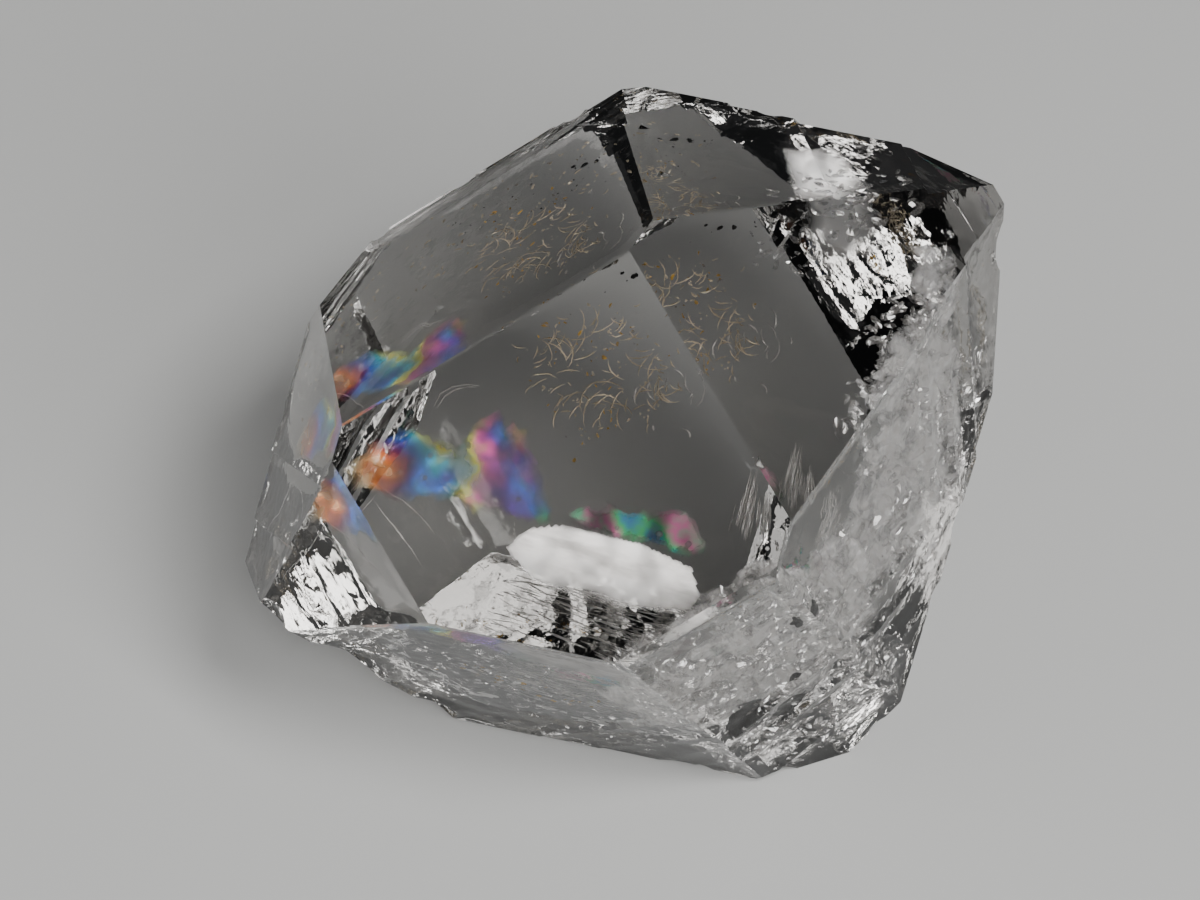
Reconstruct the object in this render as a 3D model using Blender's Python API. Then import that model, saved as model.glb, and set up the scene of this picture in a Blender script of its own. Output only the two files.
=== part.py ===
"""A doubly terminated quartz crystal of the short Herkimer habit, about 32 mm long.

The crystal is one solid that grew as one piece. It is cut from a block by the planes of its own
faces: six prism faces round the c axis and six pyramid faces at each end, every one at its own
distance from the centre, as on a real crystal, and three shallow slopes round the back prism
face. The crystal lies on one of those slopes, the foot face. Narrow bevels, growth ledges,
chips, etch pits and a broken lower tip are then cut into that form.

While it is cut, Z is the c axis (upper tip up), X is the normal of the broad front prism face
and Y completes the set. Lengths are in millimetres there, and the mesh is stored in metres.
"""
import math

import bmesh
import bpy
from mathutils import Matrix, Vector

MM = 0.001

# Angles that every quartz crystal shares, in degrees.
SECTOR_STEP = 60.0
PYRAMID_LEAN = 51.79

# Distance of each face from the centre. The sectors run anticlockwise seen from the upper tip.
SECTORS = ("front", "low", "low_back", "back", "high_back", "high")
PRISM_DISTANCE = (10.1, 11.2, 15.5, 9.0, 10.0, 9.9)
UPPER_DISTANCE = (11.1, 11.0, 13.4, 9.8, 12.4, 11.7)
LOWER_DISTANCE = (13.0, 10.5, 12.8, 11.5, 11.3, 12.2)

# Shallow slopes round the back prism face: the lean of the normal away from that face's normal,
# the way it leans (0 is up the c axis, 90 is towards the low sector) and its distance.
BACK_SLOPES = {
    "foot": (46.0, 132.2, 10.3),
    "keel": (31.0, 90.0, 11.2),
    "shoulder": (42.0, 47.8, 10.4),
}

# The lower tip is broken off along a plane that leans towards the low sector.
BROKEN_TIP_LEAN = 19.5
BROKEN_TIP_DISTANCE = 13.0

# Narrow bevels along an edge: the two faces and the bevel's width.
BEVELS = (
    ("prism_front", "prism_low", 0.42),
    ("prism_high", "lower_high_back", 1.35),
    ("prism_high_back", "lower_high", 0.70),
    ("upper_low", "shoulder", 0.30),
    ("prism_front", "prism_high", 0.10),
    ("upper_front", "upper_high", 0.12),
    ("lower_low", "foot", 0.40),
    ("prism_low", "keel", 0.35),
)

# Growth ledges: the face, the corner they step down towards, and for each ledge how far along
# that way its riser stands (0 is the face's middle, 1 the corner) and how deep it goes.
LEDGES = (
    ("prism_low", ("prism_low", "upper_low", "keel"), ((0.30, 0.08), (0.46, 0.18), (0.68, 0.31))),
    ("prism_low", ("prism_low", "lower_low", "keel"), ((0.62, 0.11), (0.80, 0.23))),
    ("upper_low", ("upper_low", "shoulder", "prism_low"), ((0.34, 0.09), (0.52, 0.20), (0.72, 0.33))),
    ("upper_low", ("upper_low", "shoulder", "upper_back"), ((0.48, 0.12), (0.66, 0.25), (0.84, 0.42))),
    ("upper_front", ("upper_front", "upper_low", "upper_high"), ((0.72, 0.07), (0.88, 0.20))),
    ("upper_high", ("upper_front", "upper_low", "upper_high"), ((0.40, 0.11), (0.66, 0.28))),
    ("prism_high", ("prism_high", "upper_high", "prism_high_back"), ((0.78, 0.09), (0.90, 0.21))),
    ("lower_low", ("lower_low", "foot", "prism_low"), ((0.34, 0.07), (0.52, 0.15), (0.78, 0.24))),
    ("lower_front", ("lower_front", "lower_low", "broken_tip"), ((0.55, 0.09), (0.78, 0.23))),
    ("lower_high", ("lower_high", "lower_front", "broken_tip"), ((0.45, 0.10), (0.74, 0.26))),
    ("prism_high_back", ("prism_high_back", "upper_high_back", "prism_back"), ((0.50, 0.12), (0.74, 0.27))),
    ("lower_high_back", ("lower_high_back", "prism_back", "lower_back"), ((0.42, 0.14), (0.70, 0.31))),
    ("upper_back", ("upper_back", "upper_high_back", "prism_back"), ((0.40, 0.13), (0.68, 0.29))),
    ("upper_high_back", ("upper_high_back", "upper_high", "upper_back"), ((0.36, 0.15), (0.62, 0.32))),
)
LEDGE_RISER_LEAN = 38.0

# Shell-shaped chips: the edge between two faces, the two faces that end that edge, how far along
# it the chip is, the ball's radius and the depth of the bite.
CHIPS = (
    ("prism_high", "prism_high_back", "lower_high", "upper_high", 0.22, 0.60, 0.26),
    ("prism_high", "prism_high_back", "lower_high", "upper_high", 0.50, 1.60, 0.14),
    ("prism_high", "prism_high_back", "lower_high", "upper_high", 0.87, 0.90, 0.20),
    ("upper_high", "upper_high_back", "prism_high", "upper_back", 0.55, 1.10, 0.22),
    ("upper_front", "upper_low", "prism_low", "upper_high", 1.00, 2.60, 0.62),
    ("upper_low", "upper_back", "shoulder", "upper_high", 0.70, 2.20, 0.60),
    ("upper_low", "shoulder", "upper_back", "prism_low", 0.42, 1.70, 0.40),
    ("upper_low", "shoulder", "upper_back", "prism_low", 0.66, 1.20, 0.34),
    ("prism_low", "shoulder", "upper_low", "keel", 0.40, 1.30, 0.36),
    ("prism_low", "foot", "keel", "lower_low", 0.85, 1.80, 0.50),
    ("lower_low", "foot", "prism_low", "broken_tip", 0.25, 2.40, 0.42),
    ("lower_low", "foot", "prism_low", "broken_tip", 0.60, 1.40, 0.20),
    ("lower_low", "broken_tip", "lower_front", "foot", 0.35, 3.20, 0.80),
    ("lower_low", "broken_tip", "lower_front", "foot", 0.85, 1.60, 0.50),
    ("lower_front", "broken_tip", "lower_low", "lower_high", 0.60, 1.50, 0.45),
    ("lower_high", "lower_high_back", "broken_tip", "prism_high_back", 0.45, 0.90, 0.16),
    ("upper_back", "shoulder", "upper_low", "prism_back", 0.50, 1.50, 0.28),
    ("prism_front", "prism_low", "lower_low", "upper_low", 0.62, 0.90, 0.16),
)
CHIP_DETAIL = 3

# Etch pits: the face, a corner of it, how far towards that corner, width and depth.
PITS = (
    ("lower_front", ("lower_front", "lower_low", "broken_tip"), 0.70, 0.45, 0.30),
    ("upper_high", ("upper_high", "upper_front", "prism_high"), 0.25, 0.34, 0.20),
    ("upper_high", ("upper_high", "upper_high_back", "prism_high"), 0.40, 0.26, 0.16),
    ("upper_front", ("upper_front", "upper_low", "prism_low"), 0.52, 0.30, 0.16),
    ("prism_high", ("prism_high", "lower_high", "prism_front"), 0.35, 0.28, 0.14),
    ("prism_high_back", ("prism_high_back", "upper_high_back", "prism_high"), 0.30, 0.36, 0.20),
)

# The crystal's heading as it lies: the c axis points this far anticlockwise from +X.
C_AXIS_HEADING = 21.2

BLOCK_SIZE = 60.0
CUTTER_REACH = 40.0
LEDGE_HEADROOM = 4.0
WELD = 1e-5
QUARTZ_COLOUR = (0.86, 0.84, 0.81, 1.0)
QUARTZ_ROUGHNESS = 0.03
QUARTZ_IOR = 1.544


def direction(lean, azimuth):
    """Unit vector leaning from the c axis by one angle, at an azimuth from the front face."""
    lean, azimuth = math.radians(lean), math.radians(azimuth)
    return Vector((math.sin(lean) * math.cos(azimuth), math.sin(lean) * math.sin(azimuth), math.cos(lean)))


def slope_direction(lean, way):
    """Normal of a shallow slope beside the back prism face."""
    lean, way = math.radians(lean), math.radians(way)
    side = math.sin(lean)
    return Vector((-math.cos(lean), side * math.sin(way), side * math.cos(way)))


def crystal_faces():
    """Name, outward normal and distance from the centre of every face."""
    faces = {}
    for index, sector in enumerate(SECTORS):
        azimuth = index * SECTOR_STEP
        faces["prism_" + sector] = (direction(90.0, azimuth), PRISM_DISTANCE[index])
        faces["upper_" + sector] = (direction(PYRAMID_LEAN, azimuth), UPPER_DISTANCE[index])
        faces["lower_" + sector] = (direction(180.0 - PYRAMID_LEAN, azimuth), LOWER_DISTANCE[index])
    for name, (lean, way, distance) in BACK_SLOPES.items():
        faces[name] = (slope_direction(lean, way), distance)
    faces["broken_tip"] = (direction(180.0 - BROKEN_TIP_LEAN, 90.0), BROKEN_TIP_DISTANCE)
    return faces


def bevel_plane(faces, first, second, width):
    """Plane that cuts the edge between two faces back to a strip of the given width."""
    normal_a, distance_a = faces[first]
    normal_b, distance_b = faces[second]
    half_turn = normal_a.angle(normal_b) / 2.0
    across = (normal_a + normal_b).normalized()
    to_edge = (distance_a + distance_b) / (2.0 * math.cos(half_turn))
    return across, to_edge - width * math.tan(half_turn) / 2.0


def corner(faces, first, second, third):
    """Point where three face planes meet."""
    rows = [faces[name] for name in (first, second, third)]
    normals = Matrix([row[0] for row in rows])
    return normals.inverted() @ Vector([row[1] for row in rows])


def cut_to_planes(planes):
    """Closed convex mesh left of a block after a cut along each plane."""
    bm = bmesh.new()
    bmesh.ops.create_cube(bm, size=BLOCK_SIZE)
    for normal, distance in planes:
        geometry = bm.verts[:] + bm.edges[:] + bm.faces[:]
        cut = bmesh.ops.bisect_plane(
            bm, geom=geometry, dist=1e-6, plane_co=normal * distance, plane_no=normal, clear_outer=True
        )
        rim = [item for item in cut["geom_cut"] if isinstance(item, bmesh.types.BMEdge)]
        if rim:
            bmesh.ops.contextual_create(bm, geom=rim)
    bmesh.ops.recalc_face_normals(bm, faces=bm.faces[:])
    return bm


def mesh_object(name, bm):
    """Object in metres from a mesh in millimetres."""
    bmesh.ops.scale(bm, vec=(MM, MM, MM), verts=bm.verts[:])
    mesh = bpy.data.meshes.new(name)
    bm.to_mesh(mesh)
    bm.free()
    obj = bpy.data.objects.new(name, mesh)
    bpy.context.collection.objects.link(obj)
    return obj


def add_cutter(crystal, name, bm):
    """Hidden cutter that rides on the crystal, with the Boolean that cuts with it."""
    cutter = mesh_object(name, bm)
    cutter.parent = crystal
    cutter.hide_render = True
    cutter.display_type = "WIRE"
    modifier = crystal.modifiers.new(name, "BOOLEAN")
    modifier.operation = "DIFFERENCE"
    modifier.solver = "EXACT"
    modifier.object = cutter


def face_matrix(normal, along, point):
    """Frame with Z on a face's normal and X as near as can be to a direction, at a point."""
    across = normal.cross(along).normalized()
    forward = across.cross(normal)
    return Matrix.Translation(point) @ Matrix((forward, across, normal)).transposed().to_4x4()


def ledge_cutter(normal, flat, origin, start):
    """Block whose floor lies in a face's lowered plane and whose near wall leans back."""
    bm = bmesh.new()
    bmesh.ops.create_cube(bm, size=1.0)
    slant = LEDGE_HEADROOM * math.tan(math.radians(LEDGE_RISER_LEAN))
    for vert in bm.verts:
        top = vert.co.z > 0.0
        near = vert.co.x < 0.0
        wall = start - slant if top else start
        x = wall if near else CUTTER_REACH
        vert.co = Vector((x, vert.co.y * 2.0 * CUTTER_REACH, LEDGE_HEADROOM if top else 0.0))
    bmesh.ops.transform(bm, matrix=face_matrix(normal, flat, origin), verts=bm.verts[:])
    return bm


def cut_ledges(crystal, faces):
    """Lower each face in steps towards one of its corners."""
    for face, corner_faces, steps in LEDGES:
        normal, distance = faces[face]
        middle = normal * distance
        way = corner(faces, *corner_faces) - middle
        flat = way - normal * way.dot(normal)
        for fraction, depth in steps:
            bm = ledge_cutter(normal, flat.normalized(), middle - normal * depth, fraction * flat.length)
            add_cutter(crystal, "ledge_cutter", bm)


def cut_chips(crystal, faces):
    """Take a shell-shaped chip out of an edge with a ball that bites past it."""
    for first, second, start_face, end_face, fraction, radius, bite in CHIPS:
        start = corner(faces, first, second, start_face)
        end = corner(faces, first, second, end_face)
        outward = (faces[first][0] + faces[second][0]).normalized()
        bm = bmesh.new()
        bmesh.ops.create_icosphere(bm, subdivisions=CHIP_DETAIL, radius=radius)
        place = Matrix.Translation(start.lerp(end, fraction) + outward * (radius - bite))
        bmesh.ops.transform(bm, matrix=place, verts=bm.verts[:])
        add_cutter(crystal, "chip_cutter", bm)


def cut_pits(crystal, faces):
    """Sink three-sided etch pits in the faces, each an upturned pyramid."""
    for face, corner_faces, fraction, width, depth in PITS:
        normal, distance = faces[face]
        middle = normal * distance
        point = middle.lerp(corner(faces, *corner_faces), fraction)
        bm = bmesh.new()
        reach = 2.0 * width
        bmesh.ops.create_cone(bm, cap_ends=True, segments=3, radius1=0.0, radius2=reach, depth=2.0 * depth)
        bmesh.ops.remove_doubles(bm, verts=bm.verts[:], dist=WELD)
        bmesh.ops.recalc_face_normals(bm, faces=bm.faces[:])
        along = normal.orthogonal()
        bmesh.ops.transform(bm, matrix=face_matrix(normal, along, point), verts=bm.verts[:])
        add_cutter(crystal, "pit_cutter", bm)


def quartz_material():
    """Clear quartz."""
    material = bpy.data.materials.new("clear_quartz")
    material.use_nodes = True
    shader = material.node_tree.nodes["Principled BSDF"]
    shader.inputs["Base Color"].default_value = QUARTZ_COLOUR
    shader.inputs["Roughness"].default_value = QUARTZ_ROUGHNESS
    shader.inputs["Metallic"].default_value = 0.0
    shader.inputs["IOR"].default_value = QUARTZ_IOR
    shader.inputs["Transmission Weight"].default_value = 1.0
    return material


def lying_rotation(faces):
    """Turn that lays the foot face on the ground and points the c axis along its heading."""
    up = -faces["foot"][0]
    c_axis = Vector((0.0, 0.0, 1.0))
    along = (c_axis - up * c_axis.dot(up)).normalized()
    side = up.cross(along)
    level = Matrix((along, side, up))
    return Matrix.Rotation(math.radians(C_AXIS_HEADING), 3, "Z") @ level


def stand_on_origin(crystal):
    """Move the crystal so that the bottom centre of its box is the origin."""
    bpy.context.view_layer.update()
    shape = crystal.evaluated_get(bpy.context.evaluated_depsgraph_get())
    mesh = shape.to_mesh()
    corners = [crystal.matrix_world @ vert.co for vert in mesh.vertices]
    shape.to_mesh_clear()
    low = Vector([min(point[axis] for point in corners) for axis in range(3)])
    high = Vector([max(point[axis] for point in corners) for axis in range(3)])
    crystal.location -= Vector(((low.x + high.x) / 2.0, (low.y + high.y) / 2.0, low.z))


def main():
    for obj in list(bpy.data.objects):
        bpy.data.objects.remove(obj)

    faces = crystal_faces()
    planes = list(faces.values())
    planes += [bevel_plane(faces, first, second, width) for first, second, width in BEVELS]
    crystal = mesh_object("quartz_crystal", cut_to_planes(planes))
    crystal.data.materials.append(quartz_material())
    crystal.rotation_euler = lying_rotation(faces).to_euler()

    cut_ledges(crystal, faces)
    cut_chips(crystal, faces)
    cut_pits(crystal, faces)
    stand_on_origin(crystal)


main()
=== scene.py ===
# %% [markdown]
# # A Herkimer diamond quartz
#
# This script dresses one lying quartz crystal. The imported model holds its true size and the
# planes of its faces. Here it gets what makes it look like quartz: a clear body with a trace
# of smoke in it, growth relief too fine for the solid, and everything that is sealed inside.

import math

import bmesh
import bpy
import numpy as np
from mathutils import Matrix, Vector, noise


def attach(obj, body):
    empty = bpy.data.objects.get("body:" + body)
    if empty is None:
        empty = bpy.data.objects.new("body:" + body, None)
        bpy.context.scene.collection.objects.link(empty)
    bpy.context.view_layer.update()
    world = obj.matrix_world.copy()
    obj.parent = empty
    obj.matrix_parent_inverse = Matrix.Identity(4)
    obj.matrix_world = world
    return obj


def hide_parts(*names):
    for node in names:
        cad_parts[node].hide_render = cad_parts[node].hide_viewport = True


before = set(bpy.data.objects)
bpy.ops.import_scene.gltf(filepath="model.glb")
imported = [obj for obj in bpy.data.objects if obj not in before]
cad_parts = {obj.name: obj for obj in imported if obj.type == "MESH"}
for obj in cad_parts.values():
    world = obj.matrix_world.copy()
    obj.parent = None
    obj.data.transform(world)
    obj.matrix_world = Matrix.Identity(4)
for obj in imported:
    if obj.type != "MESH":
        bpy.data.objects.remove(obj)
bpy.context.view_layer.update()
CAD_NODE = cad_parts["quartz_crystal"]
MM = 0.001

# %% [markdown]
# ## The crystal's own axes
#
# Quartz is built round one long axis, c. Everything in a crystal follows it: prism faces run
# along it, ledges and cracks lie across it. So places inside are given in millimetres from the
# crystal's centre along three axes of its own: `c` towards the upper tip, `f` out through the
# broad front face, and `h` towards the high side.

# %% Crystal axes in the world
# Places are in mm in the frame's own axes.
CENTRE = Vector((0.262, 0.410, 10.300))
C_AXIS = Vector((0.8163, 0.3166, 0.4832)).normalized()
FRONT_NORMAL = Vector((-0.1373, -0.7061, 0.6947))
F_AXIS = (FRONT_NORMAL - C_AXIS * FRONT_NORMAL.dot(C_AXIS)).normalized()
H_AXIS = F_AXIS.cross(C_AXIS)


def inside(c, f, h):
    """World point, in metres, of a place given in millimetres along the crystal's axes."""
    return (CENTRE + C_AXIS * c + F_AXIS * f + H_AXIS * h) * MM


print("upper tip points along:", [round(value, 2) for value in C_AXIS])

# %% [markdown]
# ## Camera
#
# The crystal is looked at from above, nearly square onto its broad front face, with a long
# lens. A long lens keeps the faces' edges parallel, as in a close-up of a small stone.

# %% Camera
# The target and the distance are in mm, the clips in metres.
VIEW_ELEVATION = math.radians(49.26)
VIEW_ROLL = math.radians(3.22)
VIEW_WAY = Vector((0.0, -math.cos(VIEW_ELEVATION), math.sin(VIEW_ELEVATION)))
VIEW_DISTANCE = 200.0
VIEW_TARGET = Vector((-0.732, -0.006, 9.942))
FRAME_WIDTH = 1200.0
FOCAL_LENGTH_PX = 5280.0
SENSOR_WIDTH = 36.0
NEAR_CLIP = 0.01
FAR_CLIP = 10.0


def make_camera():
    """Camera that looks along +Y and down at the crystal."""
    data = bpy.data.cameras.new("camera")
    data.sensor_width = SENSOR_WIDTH
    data.lens = SENSOR_WIDTH * FOCAL_LENGTH_PX / FRAME_WIDTH
    data.clip_start = NEAR_CLIP
    data.clip_end = FAR_CLIP
    camera = bpy.data.objects.new("camera", data)
    bpy.context.scene.collection.objects.link(camera)
    roll = Matrix.Rotation(VIEW_ROLL, 4, VIEW_WAY)
    turn = VIEW_WAY.to_track_quat("Z", "Y").to_matrix().to_4x4()
    stand = Matrix.Translation((VIEW_TARGET + VIEW_WAY * VIEW_DISTANCE) * MM)
    camera.matrix_world = stand @ roll @ turn
    bpy.context.scene.camera = camera
    print("lens, mm:", round(data.lens, 1))


make_camera()

# %% [markdown]
# ## Colours and nodes
#
# Every colour is written as the sRGB value seen on the stone and turned into linear light by one
# function. A second function adds a node: each input is given a value, or the output that it is
# linked to. So each material reads as a short list.

# %% Colours and nodes


def srgb(hex_colour):
    """Linear RGBA from an sRGB hex colour."""
    channels = [int(hex_colour[i : i + 2], 16) / 255.0 for i in (1, 3, 5)]
    linear = [v / 12.92 if v <= 0.04045 else ((v + 0.055) / 1.055) ** 2.4 for v in channels]
    return (*linear, 1.0)


def node(tree, kind, inputs=None, **properties):
    """Add a node with its properties. Each input gets a value or the output it is linked to."""
    made = tree.nodes.new(kind)
    for name, value in properties.items():
        setattr(made, name, value)
    for name, value in (inputs or {}).items():
        if isinstance(value, bpy.types.NodeSocket):
            tree.links.new(value, made.inputs[name])
        else:
            made.inputs[name].default_value = value
    return made


def new_material(name, finish):
    """Material with one principled surface. Returns the material and that surface's node."""
    material = bpy.data.materials.new(name)
    material.use_nodes = True
    tree = material.node_tree
    tree.nodes.clear()
    surface = node(tree, "ShaderNodeBsdfPrincipled", finish)
    node(tree, "ShaderNodeOutputMaterial", {"Surface": surface.outputs["BSDF"]})
    return material, surface


print("mid grey #808080 in linear light:", round(srgb("#808080")[0], 3))

# %% [markdown]
# ## Quartz
#
# Quartz is glass-clear and has no grain, so its look comes from three plain values: how much it
# bends light, how much it swallows, and how smooth it is. A trace of smoke is assumed, as an
# absorption through the whole depth. It is more than the clearest stones have, and it helps the
# windows to stay dark over a pale floor. Halve SMOKE_DENSITY for a water-clear stone. A fine
# bump stands for the growth texture that natural faces keep at hundredths of a millimetre.

# %% Quartz
QUARTZ_IOR = 1.544
SMOKE_COLOUR = "#bcbab7"
SMOKE_DENSITY = 66.0
GROWTH_GRAIN = 0.8 * MM
GROWTH_DEPTH = 0.004 * MM
ETCH_PIT = 0.55 * MM
ETCH_GAIN = 7.0


def make_quartz():
    """Natural quartz, as grown: clear and glossy, with a little smoke in its depth."""
    clear = {"Base Color": srgb("#ffffff"), "Roughness": 0.0, "IOR": QUARTZ_IOR, "Transmission Weight": 1.0}
    material, surface = new_material("natural_quartz", clear)
    tree = material.node_tree
    place = node(tree, "ShaderNodeTexCoord").outputs["Object"]
    lumpy = node(tree, "ShaderNodeAttribute", attribute_name="lumpy").outputs["Fac"]
    fine = node(tree, "ShaderNodeTexNoise", {"Vector": place, "Scale": 1.0 / GROWTH_GRAIN, "Detail": 3.0})
    pits = node(tree, "ShaderNodeTexVoronoi", {"Vector": place, "Scale": 1.0 / ETCH_PIT}, feature="F1")
    gain = node(tree, "ShaderNodeMath", {0: lumpy, 1: ETCH_GAIN}, operation="MULTIPLY").outputs[0]
    etched = node(tree, "ShaderNodeMath", {0: gain, 1: pits.outputs["Distance"]}, operation="MULTIPLY")
    height = node(tree, "ShaderNodeMath", {0: etched.outputs[0], 1: fine.outputs["Fac"]}, operation="ADD")
    bump = node(tree, "ShaderNodeBump", {"Height": height.outputs[0], "Distance": GROWTH_DEPTH})
    tree.links.new(bump.outputs["Normal"], surface.inputs["Normal"])
    smoke = node(tree, "ShaderNodeVolumeAbsorption", {"Color": srgb(SMOKE_COLOUR), "Density": SMOKE_DENSITY})
    tree.links.new(smoke.outputs["Volume"], tree.nodes["Material Output"].inputs["Volume"])
    return material


quartz = make_quartz()
swallowed = SMOKE_DENSITY * (1.0 - srgb(SMOKE_COLOUR)[0])
print("share of light that passes 1 cm:", round(math.exp(-swallowed * 10.0 * MM), 2))

# %% [markdown]
# ## The crystal's skin
#
# The solid has flat faces. A grown face is never quite flat: it carries low hillocks, fine
# steps across the prism and, where growth was disturbed, lumpy and etched patches. Since all
# that is seen through one face is the back of another, this relief is what breaks the light up.
#
# Each face is known by its zone and its side. The values say how disturbed its growth was, from
# 0 for a mirror to 1 for a lumpy face, and how strongly it is stepped: the broad front face is a
# mirror, while the low side is lumpy.

# %% Faces by name
SECTORS = ("front", "low", "low_back", "back", "high_back", "high")
SECTOR_STEP = math.radians(60.0)
PYRAMID_LEAN = math.radians(51.79)


def named_normals():
    """World normals of the crystal's prism and pyramid faces."""
    normals = {}
    for index, sector in enumerate(SECTORS):
        out = F_AXIS * math.cos(index * SECTOR_STEP) - H_AXIS * math.sin(index * SECTOR_STEP)
        normals["prism_" + sector] = out
        normals["upper_" + sector] = out * math.sin(PYRAMID_LEAN) + C_AXIS * math.cos(PYRAMID_LEAN)
        normals["lower_" + sector] = out * math.sin(PYRAMID_LEAN) - C_AXIS * math.cos(PYRAMID_LEAN)
    normals["foot"] = Vector((0.0, 0.0, -1.0))
    return normals


NORMALS = named_normals()
LUMPY = {
    "prism_low": 0.85,
    "upper_low": 0.75,
    "lower_low": 0.45,
    "lower_front": 0.16,
    "foot": 0.05,
    "upper_high": 0.12,
    "upper_back": 0.06,
    "upper_front": 0.03,
    "prism_front": 0.0,
    "prism_back": 0.02,
    "prism_high": 0.03,
}
LUMPY_ELSEWHERE = 0.30
STEPPED = {
    "prism_front": 0.25,
    "prism_back": 0.3,
    "prism_high": 0.6,
    "prism_high_back": 0.8,
    "prism_low": 0.6,
}
STEPPED_ELSEWHERE = 0.15
print("faces that have a name:", len(NORMALS))

# %% [markdown]
# The solid is copied, its loose triangles are merged, and it is sliced by three sets of planes
# along its own axes. Slicing keeps every edge and every plane exact, which remeshing would not.
# Each point of this lattice learns which face it lies on, how far it is from that face's edges
# and how rough that face is.

# %% Slice the copy into a lattice
WELD = 0.002 * MM
FLAT_TURN = math.radians(0.2)
SLICE_TOLERANCE = 1e-7
LATTICE_STEP = 0.26 * MM
LATTICE_PHASE = 0.37
SAME_FACE = 0.9995
# An edge is drawn sharp past the first angle, and between two broad faces past the second.
SHARP_TURN = math.radians(26.0)
SHARP_TURN_BROAD = math.radians(2.0)
BROAD_FACE = 0.8 * MM * MM
# Far down the low side, in mm along h, the faces get calmer towards the back, in mm along f.
CALM_BELOW_H = -8.0
CALM_FROM_F = -1.5
CALM_WIDTH = 3.0
CALM_LEAST = 0.25
FAR_AWAY = 1.0


def merged_copy():
    """The solid's triangles welded and joined into whole faces."""
    bm = bmesh.new()
    bm.from_mesh(CAD_NODE.data)
    bmesh.ops.remove_doubles(bm, verts=bm.verts[:], dist=WELD)
    bmesh.ops.dissolve_limit(bm, angle_limit=FLAT_TURN, verts=bm.verts[:], edges=bm.edges[:])
    return bm


def slice_lattice(bm):
    """Cut every face into small cells with planes along the crystal's axes."""
    centre = CENTRE * MM
    for axis in (C_AXIS, F_AXIS, H_AXIS):
        reach = max(abs((vert.co - centre).dot(axis)) for vert in bm.verts)
        count = math.ceil(reach / LATTICE_STEP)
        for k in range(-count, count + 1):
            bmesh.ops.bisect_plane(
                bm,
                geom=bm.verts[:] + bm.edges[:] + bm.faces[:],
                dist=SLICE_TOLERANCE,
                plane_co=centre + axis * (k + LATTICE_PHASE) * LATTICE_STEP,
                plane_no=axis,
            )


def whole_faces(bm):
    """Number every whole face, and note its borders, its name, its size and its normal."""
    layer = bm.faces.layers.int.new("whole_face")
    wholes = []
    for index, face in enumerate(bm.faces):
        face[layer] = index
        name = "chip"
        for known, normal in NORMALS.items():
            if face.normal.dot(normal) > SAME_FACE:
                name = known
        borders = [(edge.verts[0].co.copy(), edge.verts[1].co.copy()) for edge in face.edges]
        whole = {"name": name, "borders": borders}
        whole.update({"area": face.calc_area(), "normal": face.normal.copy()})
        wholes.append(whole)
    return layer, wholes


def distance_to_borders(points, borders):
    """Distance from each point to the nearest of some segments, in metres."""
    nearest = np.full(len(points), FAR_AWAY)
    for start, end in borders:
        a, b = np.array(start), np.array(end)
        along = b - a
        t = np.clip((points - a) @ along / max(along @ along, 1e-18), 0.0, 1.0)
        nearest = np.minimum(nearest, np.linalg.norm(points - (a + t[:, None] * along), axis=1))
    return nearest


def sharp_edges(bm, layer, wholes):
    """For each edge, whether two whole faces meet there at a clear angle."""
    sharp = []
    for edge in bm.edges:
        ids = {face[layer] for face in edge.link_faces}
        turn = edge.calc_face_angle(0.0)
        broad = len(ids) == 2 and min(wholes[i]["area"] for i in ids) > BROAD_FACE
        sharp.append(len(ids) == 2 and (turn > SHARP_TURN or (broad and turn > SHARP_TURN_BROAD)))
    return sharp


def crystal_lattice():
    """Lattice mesh of the crystal that carries what the relief needs on its points."""
    bm = merged_copy()
    layer, wholes = whole_faces(bm)
    slice_lattice(bm)
    bm.verts.index_update()
    count = len(bm.verts)
    inset, lumpy, stepped, normals = np.zeros(count), np.zeros(count), np.zeros(count), np.zeros((count, 3))
    groups = [set() for _ in wholes]
    for face in bm.faces:
        face.smooth = True
        groups[face[layer]].update(vert.index for vert in face.verts)
    places = np.array([vert.co for vert in bm.verts])
    for whole, members in zip(wholes, groups):
        index = np.array(sorted(members), int)
        away = distance_to_borders(places[index], whole["borders"])
        inset[index] = np.where(inset[index] > 0.0, np.minimum(inset[index], away), away)
        lumpy[index] = LUMPY.get(whole["name"], LUMPY_ELSEWHERE)
        stepped[index] = STEPPED.get(whole["name"], STEPPED_ELSEWHERE)
        normals[index] = whole["normal"]
    local = (places / MM - np.array(CENTRE)) @ np.array([C_AXIS, F_AXIS, H_AXIS]).T
    calm = np.clip((local[:, 1] - CALM_FROM_F) / CALM_WIDTH, CALM_LEAST, 1.0)
    lumpy *= np.where(local[:, 2] < CALM_BELOW_H, calm, 1.0)
    sharp = sharp_edges(bm, layer, wholes)
    mesh = bpy.data.meshes.new("crystal_body")
    bm.to_mesh(mesh)
    bm.free()
    for name, values in (("inset_mm", inset / MM), ("lumpy", lumpy), ("stepped", stepped)):
        mesh.attributes.new(name, "FLOAT", "POINT").data.foreach_set("value", values.astype(np.float32))
    for name, values in (("face_out", normals), ("crystal_mm", local)):
        mesh.attributes.new(name, "FLOAT_VECTOR", "POINT").data.foreach_set("vector", values.ravel())
    mesh.attributes.new("sharp_edge", "BOOLEAN", "EDGE").data.foreach_set("value", sharp)
    return mesh


lattice = crystal_lattice()
print("cells in the lattice:", len(lattice.polygons))

# %% [markdown]
# The relief itself is a rule, so Geometry Nodes make it: each point sinks below its own face by
# an amount that a few textures give, and not at all at the crystal's edges, which stay crisp.
# Nothing is raised, so the crystal keeps the solid's outline and size.

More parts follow.
